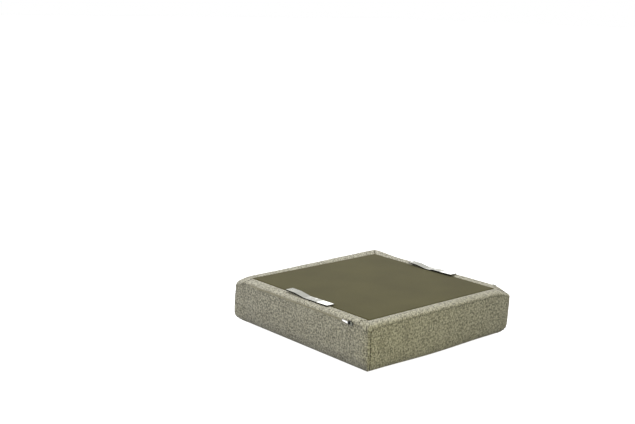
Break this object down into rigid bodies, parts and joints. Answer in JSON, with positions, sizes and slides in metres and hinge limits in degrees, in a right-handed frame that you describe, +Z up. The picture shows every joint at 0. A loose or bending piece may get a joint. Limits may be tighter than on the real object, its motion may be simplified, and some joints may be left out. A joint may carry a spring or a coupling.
{
  "type": "storage ottoman base",
  "caption": "Low square upholstered ottoman base with a storage well under a lift-off deck lid, steel lift plates and zipped side covers.",
  "frame": {"origin": "on the floor under the middle of the base", "axes": "+Z up; -Y is the front side; +X is the side that the closed zip sliders stand near"},
  "size_m": [0.8, 0.8154, 0.2115],
  "materials": {
    "cover_cloth": "heavy woven melange cloth in grey-beige and dark olive flecks",
    "deck_cloth": "smooth felted olive-brown deck cloth, matt",
    "lining_cloth": "thin dark non-woven lining",
    "dust_cloth": "black non-woven dust cloth",
    "foam": "open-cell polyurethane foam, pale yellow",
    "board": "plywood, sanded",
    "softwood": "planed softwood",
    "fastener_steel": "zinc-plated steel",
    "plate_steel": "flat steel with a satin nickel finish on its faces and dark sawn edges",
    "zip_metal": "dark gunmetal lacquered zinc",
    "pull_metal": "bright nickel plate",
    "zip_plastic": "moulded acetal teeth, grey-beige to match the cover",
    "zip_tape": "woven polyester tape, grey-beige to match the cover",
    "glide_plastic": "black polypropylene"
  },
  "bodies": {
    "base": {"front_rail": "board", "back_rail": "board", "left_rail": "board", "right_rail": "board", "floor_board": "board", "front_runner": "softwood", "back_runner": "softwood", "left_runner": "softwood", "right_runner": "softwood", "centre_runner": "softwood", "front_ledge": "softwood", "back_ledge": "softwood", "left_ledge": "softwood", "right_ledge": "softwood", "corner_posts": "softwood", "rail_screws": "fastener_steel", "floor_screws": "fastener_steel", "ledge_screws": "fastener_steel", "front_foam": "foam", "back_foam": "foam", "left_foam": "foam", "right_foam": "foam", "front_cover": "cover_cloth", "back_cover": "cover_cloth", "left_cover": "cover_cloth", "right_cover": "cover_cloth", "front_lip": "cover_cloth", "back_lip": "cover_cloth", "left_lip": "cover_cloth", "right_lip": "cover_cloth", "well_lining": "lining_cloth", "dust_cloth": "dust_cloth", "dust_cloth_staples": "fastener_steel", "glides": "glide_plastic", "glide_screws": "fastener_steel", "front_zip_tapes": "zip_tape", "back_zip_tapes": "zip_tape", "front_zip_teeth": "zip_plastic", "back_zip_teeth": "zip_plastic", "front_zip_stops": "zip_metal", "back_zip_stops": "zip_metal"},
    "lid": {"lid_board": "board", "lid_cloth": "deck_cloth", "lid_staples": "fastener_steel", "front_lift_plate": "plate_steel", "back_lift_plate": "plate_steel", "plate_screws": "fastener_steel"},
    "front_slider": {"front_zip_slider": "zip_metal"},
    "front_pull": {"front_zip_pull": "pull_metal"},
    "back_slider": {"back_zip_slider": "zip_metal"},
    "back_pull": {"back_zip_pull": "pull_metal"}
  },
  "joints": [
    {"name": "lid_lift", "type": "slide", "parent": "base", "child": "lid", "axis": [0, 0, 1], "range_m": [0, 0.25]},
    {"name": "front_zip_slide", "type": "slide", "parent": "base", "child": "front_slider", "axis": [1, 0, 0], "range_m": [-0.589, 0]},
    {"name": "front_pull_flip", "type": "hinge", "parent": "front_slider", "child": "front_pull", "pos_m": [0.301, -0.4057, 0.187], "axis": [0, 0, 1], "range_deg": [0, 170]},
    {"name": "back_zip_slide", "type": "slide", "parent": "base", "child": "back_slider", "axis": [1, 0, 0], "range_m": [-0.589, 0]},
    {"name": "back_pull_flip", "type": "hinge", "parent": "back_slider", "child": "back_pull", "pos_m": [0.301, 0.4057, 0.187], "axis": [0, 0, -1], "range_deg": [0, 170]}
  ]
}
